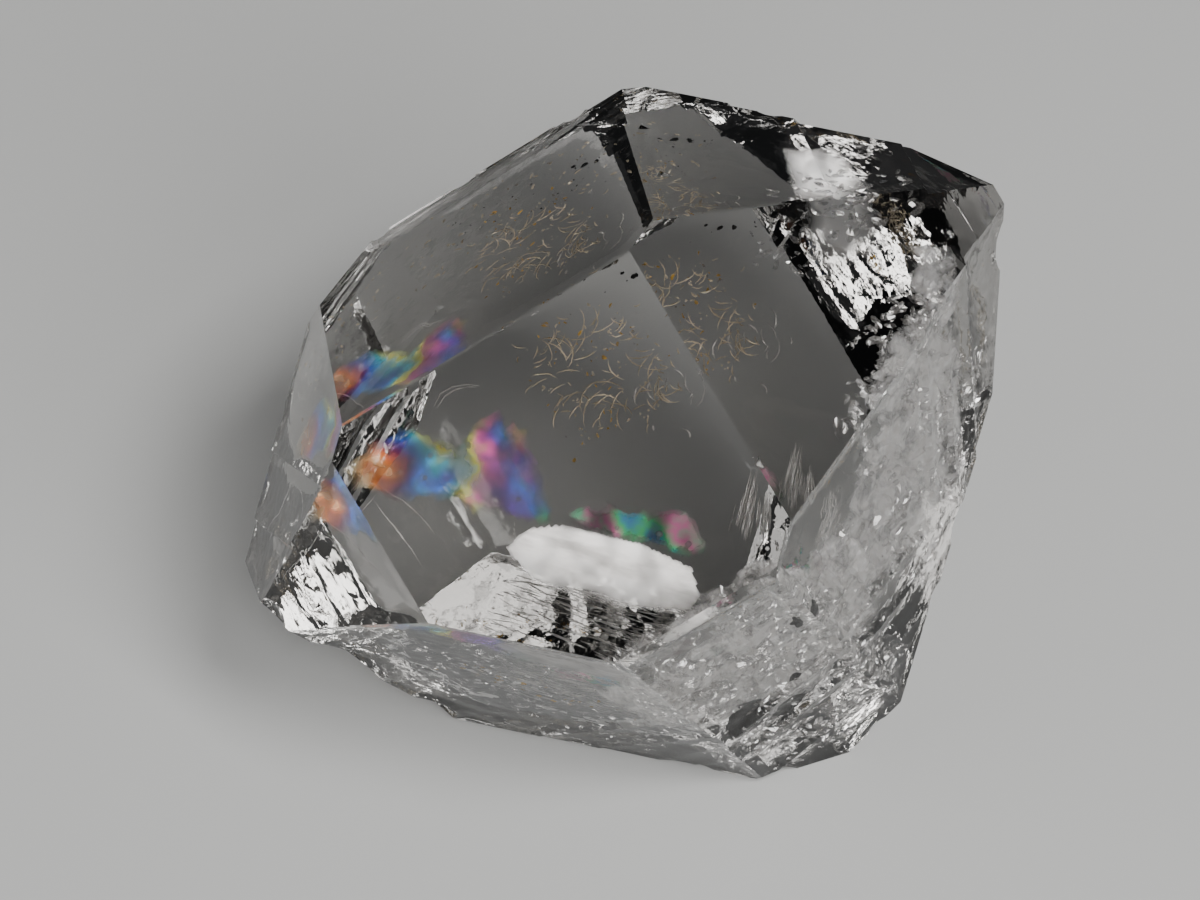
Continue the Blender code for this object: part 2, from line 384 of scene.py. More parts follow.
# %% Growth relief
RELIEF = {"Hillock height": 0.020, "Step height": 0.014, "Lump height": 0.20, "Edge width": 0.55}
HILLOCKS_PER_MM = 0.24
STEPS_PER_MM = 1.7
LUMPS_PER_MM = 0.75
BLOCKS_PER_MM = 0.9
BLOCK_SHARE = 0.45
STORED = {
    "crystal_mm": "FLOAT_VECTOR",
    "face_out": "FLOAT_VECTOR",
    "stepped": "FLOAT",
    "lumpy": "FLOAT",
    "inset_mm": "FLOAT",
}


def geometry_tree(name, sizes):
    """Geometry tree with named number inputs. Returns the tree and its inputs."""
    tree = bpy.data.node_groups.new(name, "GeometryNodeTree")
    tree.interface.new_socket("Geometry", in_out="INPUT", socket_type="NodeSocketGeometry")
    tree.interface.new_socket("Geometry", in_out="OUTPUT", socket_type="NodeSocketGeometry")
    for label, value in sizes.items():
        socket = tree.interface.new_socket(label, in_out="INPUT", socket_type="NodeSocketFloat")
        socket.default_value = value
    return tree, node(tree, "NodeGroupInput").outputs


def finish_tree(tree, geometry, material):
    """End a geometry tree with real geometry that has its material."""
    real = node(tree, "GeometryNodeRealizeInstances", {"Geometry": geometry})
    skin = node(tree, "GeometryNodeSetMaterial", {"Geometry": real.outputs[0], "Material": material})
    node(tree, "NodeGroupOutput", {"Geometry": skin.outputs[0]})
    return tree


def relief_tree(material):
    """Geometry tree that sinks a lattice's points into growth relief."""
    tree, entry = geometry_tree("growth_relief", RELIEF)
    stored = {}
    for name, kind in STORED.items():
        reader = node(tree, "GeometryNodeInputNamedAttribute", {"Name": name}, data_type=kind)
        stored[name] = reader.outputs["Attribute"]
    place = stored["crystal_mm"]

    hills = node(
        tree,
        "ShaderNodeTexVoronoi",
        {"Vector": place, "Scale": HILLOCKS_PER_MM, "Randomness": 0.9},
        feature="SMOOTH_F1",
    ).outputs["Distance"]
    hillock = node(tree, "ShaderNodeMath", {0: hills, 1: entry["Hillock height"]}, operation="MULTIPLY")

    along_c = node(tree, "ShaderNodeSeparateXYZ", {"Vector": place}).outputs["X"]
    across = node(tree, "ShaderNodeMath", {0: along_c, 1: STEPS_PER_MM}, operation="MULTIPLY").outputs[0]
    ripple = node(
        tree,
        "ShaderNodeTexNoise",
        {"W": across, "Scale": 1.0, "Detail": 3.0},
        noise_dimensions="1D",
    ).outputs["Fac"]
    step = node(tree, "ShaderNodeMath", {0: ripple, 1: entry["Step height"]}, operation="MULTIPLY")
    step = node(tree, "ShaderNodeMath", {0: step.outputs[0], 1: stored["stepped"]}, operation="MULTIPLY")

    lumps = node(
        tree,
        "ShaderNodeTexNoise",
        {"Vector": place, "Scale": LUMPS_PER_MM, "Detail": 4.0, "Roughness": 0.55},
    ).outputs["Fac"]
    blocks = node(
        tree,
        "ShaderNodeTexVoronoi",
        {"Vector": place, "Scale": BLOCKS_PER_MM, "Randomness": 1.0},
        feature="F1",
    ).outputs["Distance"]
    blocks = node(tree, "ShaderNodeMath", {0: blocks, 1: BLOCK_SHARE}, operation="MULTIPLY").outputs[0]
    mixed = node(tree, "ShaderNodeMath", {0: lumps, 1: blocks}, operation="ADD").outputs[0]
    lump = node(tree, "ShaderNodeMath", {0: mixed, 1: entry["Lump height"]}, operation="MULTIPLY")
    lump = node(tree, "ShaderNodeMath", {0: lump.outputs[0], 1: stored["lumpy"]}, operation="MULTIPLY")

    depth = node(tree, "ShaderNodeMath", {0: hillock.outputs[0], 1: step.outputs[0]}, operation="ADD")
    depth = node(tree, "ShaderNodeMath", {0: depth.outputs[0], 1: lump.outputs[0]}, operation="ADD")
    edge = node(
        tree,
        "ShaderNodeMapRange",
        {"Value": stored["inset_mm"], "From Min": 0.0, "From Max": entry["Edge width"]},
        interpolation_type="SMOOTHSTEP",
    ).outputs["Result"]
    faded = node(tree, "ShaderNodeMath", {0: depth.outputs[0], 1: edge}, operation="MULTIPLY")
    sink = node(tree, "ShaderNodeMath", {0: faded.outputs[0], 1: -MM}, operation="MULTIPLY").outputs[0]
    offset = node(tree, "ShaderNodeVectorMath", {0: stored["face_out"], "Scale": sink}, operation="SCALE")
    moved = node(
        tree,
        "GeometryNodeSetPosition",
        {"Geometry": entry["Geometry"], "Offset": offset.outputs[0]},
    )
    return finish_tree(tree, moved.outputs[0], material)


def make_plain(obj, tree, values):
    """Run a geometry tree on an object and keep its result as a plain mesh."""
    modifier = obj.modifiers.new(tree.name, "NODES")
    modifier.node_group = tree
    for item in tree.interface.items_tree:
        if item.in_out == "INPUT" and item.name in values:
            modifier[item.identifier] = values[item.name]
    bpy.context.view_layer.update()
    ready = obj.evaluated_get(bpy.context.evaluated_depsgraph_get())
    mesh = bpy.data.meshes.new_from_object(ready)
    obj.modifiers.remove(modifier)
    obj.data = mesh
    mesh.name = obj.name


def add_object(name, mesh):
    """Link a mesh to the scene as an object at the origin."""
    obj = bpy.data.objects.new(name, mesh)
    bpy.context.scene.collection.objects.link(obj)
    return obj


crystal = add_object("crystal_body", lattice)
make_plain(crystal, relief_tree(quartz), RELIEF)
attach(crystal, "root")
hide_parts("quartz_crystal")
print("triangles in the skin:", sum(len(face.vertices) - 2 for face in crystal.data.polygons))

# %% [markdown]
# ## What is sealed inside
#
# Crystals of this kind grew fast round skins of brine and bitumen. They keep healed cracks that
# show as curled veils, fresh cracks whose thin air film gives rainbow colours, and grains of
# black carbon. None of these shapes is on the surface, and none changes the solid.
#
# A film of air in a crack shows rainbow colours, an open flake is a mirror and a healed one is
# pale. True interference would need the film's thickness in nanometres on every point, so a ramp
# of the colours that it gives, from thin to thick, stands for it. All of them are drawn as partly
# metal, because the air in a crack throws back nearly all light that meets it at a flat angle.

# %% Films and flakes
FILM_COLOURS = (
    (0.00, "#f3eee2"),
    (0.10, "#f5d9a0"),
    (0.18, "#e0762c"),
    (0.25, "#8c2d6e"),
    (0.32, "#2f5fd0"),
    (0.41, "#39b7c9"),
    (0.49, "#d6d64a"),
    (0.57, "#d8489a"),
    (0.65, "#6b2fae"),
    (0.74, "#2d6ad6"),
    (0.83, "#22b46a"),
    (0.92, "#c65a93"),
    (1.00, "#5fae84"),
)
FILM_DRIFT = 0.20
FILM_DRIFT_SIZE = 1.3 * MM
BUBBLE_SIZE = 0.7 * MM
BUBBLE_HOLE = {"From Min": 0.05, "From Max": 0.22, "To Min": 0.20}
# The part of a flake's noise over which it turns from closed to open, and how faint closed is.
FLAKE_GAP = {"From Min": 0.35, "From Max": 0.65}
FLAKE_CLOSED = 0.35
FLAKE_PATCH = 0.9 * MM


def film_colours(tree, thickness):
    """Colour of a thin film of air, from thin to thick."""
    ramp = node(tree, "ShaderNodeValToRGB", {"Fac": thickness})
    elements = ramp.color_ramp.elements
    while len(elements) < len(FILM_COLOURS):
        elements.new(0.5)
    for element, (position, colour) in zip(elements, FILM_COLOURS):
        element.position = position
        element.color = srgb(colour)
    return ramp.outputs["Color"]


def make_film():
    """Air film in a fresh crack: rainbow bands that follow its thickness, with tiny round holes."""
    material, surface = new_material("crack_air_film", {"Roughness": 0.30, "Metallic": 0.75})
    tree = material.node_tree
    place = node(tree, "ShaderNodeTexCoord").outputs["Object"]
    film = node(tree, "ShaderNodeAttribute", attribute_name="film").outputs["Fac"]
    cover = node(tree, "ShaderNodeAttribute", attribute_name="cover").outputs["Fac"]
    drift = node(
        tree,
        "ShaderNodeTexNoise",
        {"Vector": place, "Scale": 1.0 / FILM_DRIFT_SIZE, "Detail": 3.0},
    ).outputs["Fac"]
    drift = node(
        tree,
        "ShaderNodeMapRange",
        {"Value": drift, "To Min": -FILM_DRIFT, "To Max": FILM_DRIFT},
    ).outputs["Result"]
    thickness = node(tree, "ShaderNodeMath", {0: film, 1: drift}, operation="ADD").outputs[0]
    bubbles = node(tree, "ShaderNodeTexVoronoi", {"Vector": place, "Scale": 1.0 / BUBBLE_SIZE}, feature="F1")
    holes = node(
        tree,
        "ShaderNodeMapRange",
        {**BUBBLE_HOLE, "Value": bubbles.outputs["Distance"]},
    ).outputs["Result"]
    alpha = node(tree, "ShaderNodeMath", {0: cover, 1: holes}, operation="MULTIPLY").outputs[0]
    tree.links.new(film_colours(tree, thickness), surface.inputs["Base Color"])
    tree.links.new(alpha, surface.inputs["Alpha"])
    return material


def make_flake_material(name, light, dark, alpha, roughness, metallic):
    """Flakes of a healed or open crack: bright where the gap is open, faint where it closed."""
    material, surface = new_material(name, {"Roughness": roughness, "Metallic": metallic})
    tree = material.node_tree
    place = node(tree, "ShaderNodeTexCoord").outputs["Object"]
    patch = node(
        tree,
        "ShaderNodeTexNoise",
        {"Vector": place, "Scale": 1.0 / FLAKE_PATCH, "Detail": 3.0},
    ).outputs["Fac"]
    tint = node(tree, "ShaderNodeMix", {0: patch, 6: srgb(dark), 7: srgb(light)}, data_type="RGBA")
    fade = node(
        tree,
        "ShaderNodeMapRange",
        {**FLAKE_GAP, "Value": patch, "To Min": FLAKE_CLOSED * alpha, "To Max": alpha},
    ).outputs["Result"]
    tree.links.new(tint.outputs[2], surface.inputs["Base Color"])
    tree.links.new(fade, surface.inputs["Alpha"])
    return material


film_material = make_film()
veil_material = make_flake_material("healed_crack_veil", "#fff6e6", "#e6cf9f", 1.0, 0.30, 0.6)
gold_material = make_flake_material("iron_stained_film", "#ffcf4e", "#b98a2c", 0.9, 0.3, 0.4)
mirror_material = make_flake_material("open_crack_mirror", "#ffffff", "#e6dfd8", 0.96, 0.30, 0.85)
glint_material = make_flake_material("open_crack_glint", "#ffffff", "#d9d2cc", 0.75, 0.16, 0.9)
print("bands in the air film:", len(FILM_COLOURS))

# %% [markdown]
# A crushed crack is full of gaps and dull white, while a clean one is a mirror with faint streaks.
# Both read their cover from their mesh, so that they can thin out towards a border. Bitumen that
# turned to carbon is a dull black solid with pitch-like glints. Each pattern has a real size in
# millimetres.

# %% White cracks and carbon
CRACK_GAP = {"From Min": 0.34, "From Max": 0.52}
CRUSHED_PATCH = 1.3 * MM
CRUSHED_CLOSED = 0.2
CRUSHED_GRAIN = 0.4 * MM
CRUSHED_DEPTH = 0.10 * MM
CLEAN_STREAK = 0.9 * MM
CLEAN_STRETCH = 0.25
CLEAN_TURN = 0.25
CLEAN_CLOSED = 0.55
CARBON_GRAIN = 0.25 * MM
CARBON_DEPTH = 0.03 * MM


def make_crushed():
    """Crushed crack full of open gaps, white and grainy where they lie close together."""
    material, surface = new_material("crushed_crack_white", {"Roughness": 0.25, "Metallic": 0.12})
    tree = material.node_tree
    place = node(tree, "ShaderNodeTexCoord").outputs["Object"]
    cover = node(tree, "ShaderNodeAttribute", attribute_name="cover").outputs["Fac"]
    patch = node(
        tree,
        "ShaderNodeTexNoise",
        {"Vector": place, "Scale": 1.0 / CRUSHED_PATCH, "Detail": 5.0, "Roughness": 0.62},
    ).outputs["Fac"]
    gaps = node(tree, "ShaderNodeMapRange", {**CRACK_GAP, "Value": patch, "To Min": CRUSHED_CLOSED})
    alpha = node(tree, "ShaderNodeMath", {0: cover, 1: gaps.outputs["Result"]}, operation="MULTIPLY")
    grain = node(
        tree,
        "ShaderNodeTexNoise",
        {"Vector": place, "Scale": 1.0 / CRUSHED_GRAIN, "Detail": 3.0},
    ).outputs["Fac"]
    tint = node(
        tree,
        "ShaderNodeMix",
        {0: grain, 6: srgb("#cfc8c2"), 7: srgb("#ffffff")},
        data_type="RGBA",
    ).outputs[2]
    bump = node(tree, "ShaderNodeBump", {"Height": grain, "Distance": CRUSHED_DEPTH})
    tree.links.new(tint, surface.inputs["Base Color"])
    tree.links.new(alpha.outputs[0], surface.inputs["Alpha"])
    tree.links.new(bump.outputs["Normal"], surface.inputs["Normal"])
    return material


def make_clean_crack():
    """Clean open crack, white where it mirrors the light and streaked across the crystal."""
    material, surface = new_material("clean_open_crack", {"Roughness": 0.28, "Metallic": 0.85})
    tree = material.node_tree
    place = node(tree, "ShaderNodeTexCoord").outputs["Object"]
    cover = node(tree, "ShaderNodeAttribute", attribute_name="cover").outputs["Fac"]
    turned = node(tree, "ShaderNodeMapping", {"Vector": place, "Rotation": (0.0, 0.0, CLEAN_TURN)})
    drawn = node(
        tree,
        "ShaderNodeMapping",
        {"Vector": turned.outputs[0], "Scale": (CLEAN_STRETCH, 1.0, 1.0)},
    )
    streak = node(
        tree,
        "ShaderNodeTexNoise",
        {"Vector": drawn.outputs[0], "Scale": 1.0 / CLEAN_STREAK, "Detail": 4.0},
    ).outputs["Fac"]
    gaps = node(tree, "ShaderNodeMapRange", {**CRACK_GAP, "Value": streak, "To Min": CLEAN_CLOSED})
    alpha = node(tree, "ShaderNodeMath", {0: cover, 1: gaps.outputs["Result"]}, operation="MULTIPLY")
    tint = node(
        tree,
        "ShaderNodeMix",
        {0: streak, 6: srgb("#e9e2dc"), 7: srgb("#ffffff")},
        data_type="RGBA",
    ).outputs[2]
    tree.links.new(tint, surface.inputs["Base Color"])
    tree.links.new(alpha.outputs[0], surface.inputs["Alpha"])
    return material


def make_carbon():
    """Bitumen turned to brittle black carbon, dull with pitch-like glints."""
    material, surface = new_material("bitumen_carbon", {"Roughness": 0.55, "Specular IOR Level": 0.2})
    tree = material.node_tree
    place = node(tree, "ShaderNodeTexCoord").outputs["Object"]
    grain = node(
        tree,
        "ShaderNodeTexNoise",
        {"Vector": place, "Scale": 1.0 / CARBON_GRAIN, "Detail": 4.0},
    ).outputs["Fac"]
    tint = node(
        tree,
        "ShaderNodeMix",
        {0: grain, 6: srgb("#050504"), 7: srgb("#1c1815")},
        data_type="RGBA",
    ).outputs[2]
    bump = node(tree, "ShaderNodeBump", {"Height": grain, "Distance": CARBON_DEPTH})
    tree.links.new(tint, surface.inputs["Base Color"])
    tree.links.new(bump.outputs["Normal"], surface.inputs["Normal"])
    return material


crushed_material = make_crushed()
clean_material = make_clean_crack()
carbon_material = make_carbon()
print("materials so far:", len(bpy.data.materials))

# %% [markdown]
# Every sealed piece has to stay inside the quartz. The whole faces of the solid are kept as
# planes, and one helper drops any loose flake that comes closer to a plane than a set margin.
# A face whose plane cuts through the body, as a ledge's does, is no such plane.

# %% Keep inside the crystal
PLANE_SLACK = 0.05 * MM


def skin_planes():
    """Outward normals and distances of the broad faces that no part of the solid passes."""
    bm = merged_copy()
    places = np.array([vert.co for vert in bm.verts])
    broad = [face for face in bm.faces if face.calc_area() > BROAD_FACE]
    normals = np.array([face.normal for face in broad])
    reach = np.array([face.normal.dot(face.verts[0].co) for face in broad])
    bm.free()
    outermost = (normals @ places.T).max(axis=1) < reach + PLANE_SLACK
    return normals[outermost], reach[outermost]


PLANE_NORMALS, PLANE_REACH = skin_planes()


def loose_part(start, seen):
    """All points that hang together with a point. They are added to the seen ones."""
    part, waiting = [], [start]
    seen.add(start.index)
    while waiting:
        current = waiting.pop()
        part.append(current)
        for edge in current.link_edges:
            other = edge.other_vert(current)
            if other.index not in seen:
                seen.add(other.index)
                waiting.append(other)
    return part


def keep_inside(obj, margin):
    """Remove the loose parts of a piece that come within the margin, in mm, of the skin."""
    bm = bmesh.new()
    bm.from_mesh(obj.data)
    places = np.array([vert.co for vert in bm.verts])
    gap = (PLANE_REACH[:, None] - PLANE_NORMALS @ places.T).min(axis=0)
    near = set(np.nonzero(gap < margin * MM)[0])
    doomed, seen = [], set()
    for vert in bm.verts:
        if vert.index not in seen:
            part = loose_part(vert, seen)
            if any(member.index in near for member in part):
                doomed.extend(part)
    bmesh.ops.delete(bm, geom=doomed, context="VERTS")
    bm.to_mesh(obj.data)
    bm.free()


def sealed_piece(obj, material=None):
    """Finish a piece inside the crystal and let it ride with the part."""
    if material:
        obj.data.materials.clear()
        obj.data.materials.append(material)
    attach(obj, "root")
    print(obj.name, "faces:", len(obj.data.polygons))


print("planes that hold the pieces in:", len(PLANE_REACH))

# %% [markdown]
# ## Cracks
#
# A crack lights up only from one side, when it lies halfway between the eye and a light. The tilt
# is worked out here, so that the main cracks face the same way, as they do along one blow. Light
# bends as it leaves the quartz, so both directions are bent first. The light is the front card,
# which the last part of this script puts up.

# %% Tilt of a bright crack
FRONT_CARD = (174.0, 51.0)


def compass_way(azimuth, elevation):
    """Unit vector of a compass direction. Azimuth 0 is behind the crystal (+Y), 90 is +X."""
    a, e = math.radians(azimuth), math.radians(elevation)
    return Vector((math.sin(a) * math.cos(e), math.cos(a) * math.cos(e), math.sin(e)))


def bent_way(way, normal):
    """Direction inside the quartz of a ray that leaves through a face towards `way`."""
    flat = (way - normal * way.dot(normal)) / QUARTZ_IOR
    return flat + normal * math.sqrt(1.0 - flat.length_squared)


def halfway(face):
    """Direction that a crack has to face to mirror the front card through a crystal face."""
    normal = NORMALS[face]
    return (bent_way(VIEW_WAY, normal) + bent_way(compass_way(*FRONT_CARD), normal)).normalized()


def swirl(c, h, scale, seed):
    """Soft noise between -1 and 1 in c and h."""
    return noise.noise(Vector((c * scale, h * scale, seed)))


def tilted(face, level, middle, crumple, scale, seed):
    """Depth function of a crumpled crack with the bright tilt."""
    half = halfway(face)
    slope_c, slope_h = -half.dot(C_AXIS) / half.dot(F_AXIS), -half.dot(H_AXIS) / half.dot(F_AXIS)

    def depth(c, h):
        wave = swirl(c, h, scale, seed)
        return level + slope_c * (c - middle[0]) + slope_h * (h - middle[1]) + crumple * wave

    return depth


lean = math.degrees(math.acos(halfway("prism_front").dot(F_AXIS)))
print("lean of a bright crack against the front face, degrees:", round(lean, 1))

# %% [markdown]
# ## Rainbow crack
#
# A fresh crack holds a film of air a few hundred nanometres thick. Its colour follows its
# thickness, so the sheet stores a thickness on each point: a slow wedge along the crack with a
# few swirls. The sheet is a fine grid trimmed to a ragged outline, and it also stores how well it
# covers, which falls to nothing at the border.

# %% Rainbow crack
SHEET_STEP = 0.12
FAR_MM = 99.0
# Coarse and fine wander of a ragged border: how far in mm, how often per mm, and the seed.
WANDER = ((0.35, 1.3, 4.0), (0.15, 4.0, 9.0))


def inside_outline(c, h, outline):
    """Signed distance in mm from a place to an outline in c and h, positive within."""
    within = False
    nearest = FAR_MM
    for (c1, h1), (c2, h2) in zip(outline, outline[1:] + outline[:1]):
        if (h1 > h) != (h2 > h) and c < (c2 - c1) * (h - h1) / (h2 - h1) + c1:
            within = not within
        along = (c2 - c1) ** 2 + (h2 - h1) ** 2
        t = min(1.0, max(0.0, ((c - c1) * (c2 - c1) + (h - h1) * (h2 - h1)) / along))
        nearest = min(nearest, math.hypot(c - c1 - t * (c2 - c1), h - h1 - t * (h2 - h1)))
    return nearest if within else -nearest


def border_box(outline):
    """Lowest and highest c, and lowest and highest h, of an outline."""
    all_c, all_h = zip(*outline)
    return min(all_c), max(all_c), min(all_h), max(all_h)


def crack_sheet(bm, outline, depth, solid, film=None, ragged=1.0, feather=0.35, fade=None):
    """Add a ragged sheet. `depth`, `film` and `fade` are functions of c and h."""
    film_layer = bm.verts.layers.float["film"]
    cover_layer = bm.verts.layers.float["cover"]
    low_c, high_c, low_h, high_h = border_box(outline)
    grid = {}
    for i in range(int((high_c - low_c) / SHEET_STEP) + 2):
        for j in range(int((high_h - low_h) / SHEET_STEP) + 2):
            c, h = low_c + i * SHEET_STEP, low_h + j * SHEET_STEP
            wander = sum(reach * swirl(c, h, often, seed) for reach, often, seed in WANDER)
            edge = inside_outline(c, h, outline) + ragged * wander
            if edge < 0.0:
                continue
            vert = bm.verts.new(inside(c, depth(c, h), h))
            vert[film_layer] = film(c, h) if film else 0.0
            vert[cover_layer] = solid * min(1.0, edge / feather) * (fade(c, h) if fade else 1.0)
            grid[i, j] = vert
    for i, j in list(grid):
        corners = [grid.get(key) for key in ((i, j), (i + 1, j), (i + 1, j + 1), (i, j + 1))]
        if all(corners):
            bm.faces.new(corners)


def crack_piece(name, sheets, material, smooth=False):
    """One sealed piece of crack sheets."""
    bm = bmesh.new()
    bm.verts.layers.float.new("film")
    bm.verts.layers.float.new("cover")
    for sheet in sheets:
        crack_sheet(bm, **sheet)
    for face in bm.faces:
        face.smooth = smooth
    mesh = bpy.data.meshes.new(name)
    bm.to_mesh(mesh)
    bm.free()
    sealed_piece(add_object(name, mesh), material)


LEFT_CRACK = [(-9.4, 4.4), (-7.9, 4.8), (-6.0, 4.4), (-5.0, 3.1), (-3.0, 3.4), (-2.9, 2.3), (-3.6, -1.0)]
LEFT_CRACK += [(-4.6, -0.6), (-6.0, 0.8), (-7.2, 1.8), (-8.3, 2.4), (-9.2, 3.6)]
BAND_CRACK = [(-3.6, 2.7), (-2.9, 2.9), (-2.6, 2.0), (-3.0, 0.6), (-3.3, -1.0), (-3.4, -1.6)]
BAND_CRACK += [(-4.1, -1.2), (-4.0, 0.6)]
DEEP_CRACK = [(-3.5, -1.2), (-2.0, -1.5), (-0.5, -2.6), (0.9, -3.6), (0.8, -5.2), (0.0, -5.1)]
DEEP_CRACK += [(-1.4, -3.9), (-2.5, -2.7)]


def left_film(c, h):
    """Thickness of the left crack's film, a wedge along c."""
    return 0.04 + (c - h * 0.35 + 11.0) * 0.092 + 0.10 * swirl(c, h, 0.7, 5.0)


def band_film(c, h):
    """Thickness of the narrow crack's film, a wedge along h."""
    return 0.80 - (h + 1.6) * 0.07 + 0.12 * swirl(c, h, 0.9, 7.0)


def deep_film(c, h):
    """Thickness of the deep crack's film, which swells and thins along c."""
    return 0.90 + 0.10 * math.sin(c * 1.9) + 0.08 * swirl(c, h, 1.1, 8.0)


RAINBOW_SHEETS = (
    {
        "outline": LEFT_CRACK,
        "depth": tilted("prism_front", 0.2, (-5.5, 2.5), 0.22, 0.6, 2.0),
        "film": left_film,
        "solid": 0.44,
    },
    {
        "outline": BAND_CRACK,
        "depth": tilted("prism_front", -1.0, (-3.4, 0.8), 0.22, 0.7, 3.0),
        "film": band_film,
        "solid": 0.42,
    },
    {
        "outline": DEEP_CRACK,
        "depth": tilted("prism_front", -3.0, (-1.4, -3.0), 0.18, 0.6, 4.0),
        "film": deep_film,
        "solid": 0.62,
    },
)
crack_piece("rainbow_crack", RAINBOW_SHEETS, film_material, smooth=True)

# %% [markdown]
# ## Crushed cracks
#
# Along the low side the crystal was knocked: sheets of tiny open cracks lie a millimetre under
# the skin and scatter the light, so this side is silvery white. They are ragged sheets like the
# rainbow crack's, set parallel to the faces they lie under and crumpled by ridged noise.

# %% Crushed cracks
LOW_SHEET = [(-5.2, -7.2), (-3.0, -6.6), (0.0, -6.4), (3.4, -6.3), (6.2, -6.8), (6.0, -8.8)]
LOW_SHEET += [(4.0, -10.0), (1.0, -10.6), (-1.5, -10.4), (-4.0, -9.2)]
RIGHT_SHEET = [(4.6, -9.3), (7.0, -8.7), (8.5, -7.8), (10.0, -6.6), (11.2, -4.8), (12.4, -2.9)]
RIGHT_SHEET += [(11.9, -1.5), (10.4, -1.9), (9.0, -3.0), (7.4, -4.6), (5.8, -5.9), (4.2, -7.3)]
TIP_SHEET = [(12.2, -2.6), (13.2, -2.4), (14.0, -1.2), (13.9, 0.2), (12.9, 0.6), (12.0, -0.6)]
# Coarse and fine ridges: their height, how often they come per mm, and the seed.
RIDGES = ((1.0, 0.8, 12.0), (0.5, 2.1, 15.0))


def depth_at(face, distance, c, h):
    """Place along f of the plane that lies a distance in mm from the centre, parallel to a face."""
    normal = NORMALS[face]
    return (distance - normal.dot(C_AXIS) * c - normal.dot(H_AXIS) * h) / normal.dot(F_AXIS)


def under_face(face, distance, crumple):
    """Depth function of a crumpled sheet parallel to a face."""

    def depth(c, h):
        ridge = sum(height * abs(swirl(c, h, often, seed)) for height, often, seed in RIDGES)
        return depth_at(face, distance - crumple * ridge, c, h)

    return depth


CRUSHED_SHEETS = (
    {"outline": LOW_SHEET, "depth": under_face("prism_low", 9.1, 0.9), "solid": 0.95},
    {"outline": RIGHT_SHEET, "depth": under_face("upper_low", 9.9, 0.8), "solid": 0.8},
    {"outline": TIP_SHEET, "depth": under_face("upper_front", 9.9, 0.5), "solid": 0.8},
)
crack_piece("crushed_cracks", CRUSHED_SHEETS, crushed_material)

# %% [markdown]
# Two clean cracks shine white, one over the foot and one near the upper tip. The first is whole
# along its upper border and dissolves below it, as a crack does where it closes again.

# %% White cracks
FOOT_CRACK = [(-5.3, -1.2), (-4.1, -1.0), (-3.0, -1.5), (-0.8, -3.6), (0.4, -5.4), (0.1, -6.6)]
FOOT_CRACK += [(-0.7, -7.0), (-2.2, -5.8), (-3.9, -4.4), (-5.0, -2.9)]
TOP_CRACK = [(9.7, 5.3), (11.8, 4.5), (11.5, 1.6), (9.3, 0.8), (8.3, 2.0)]
DISSOLVE_WIDTH = 1.9
DISSOLVE_START = 1.25


def dissolve(start, end, width):
    """Cover of a crack that is whole along one border and dissolves across a width in mm."""
    along = Vector(end) - Vector(start)
    across = Vector((along.y, -along.x)).normalized()

    def fade(c, h):
        gone = abs((Vector((c, h)) - Vector(start)).dot(across)) / width
        return min(1.0, max(0.0, DISSOLVE_START - gone))

    return fade


WHITE_SHEETS = (
    {
        "outline": FOOT_CRACK,
        "depth": tilted("prism_front", 2.2, (-1.5, -3.5), 0.04, 0.9, 31.0),
        "solid": 1.0,
        "ragged": 0.0,
        "feather": 0.14,
        "fade": dissolve(FOOT_CRACK[1], FOOT_CRACK[4], DISSOLVE_WIDTH),
    },
    {
        "outline": TOP_CRACK,
        "depth": tilted("upper_high", 0.0, (10.2, 3.0), 0.05, 0.9, 33.0),
        "solid": 1.0,
        "ragged": 0.35,
        "feather": 0.8,
    },
)
crack_piece("white_cracks", WHITE_SHEETS, clean_material)

# %% [markdown]
# ## Flakes
#
# Open cracks in quartz are not one sheet but many small curved flakes, each a mirror from one
# side. One Geometry Nodes tree makes all of them: it scatters a bent flake over guide sheets,
# turns and stretches each one by a seed, bends them all by a texture so that no two match, and
# turns the result into plain mesh.

# %% Flake scatter
FLAKE_SIZES = {
    "Per square mm": 4.0,
    "Smallest mm": 0.10,
    "Largest mm": 0.5,
    "Narrowness": 0.5,
    "Turn": 0.6,
    "Crumple mm": 0.10,
    "Seed": 1.0,
}
FLAKE_CORNERS = 9
FLAKE_BEND = 0.28
CRUMPLE_SIZE = 0.45 * MM
FULL_TURN = (1.0, 1.0, 3.14)


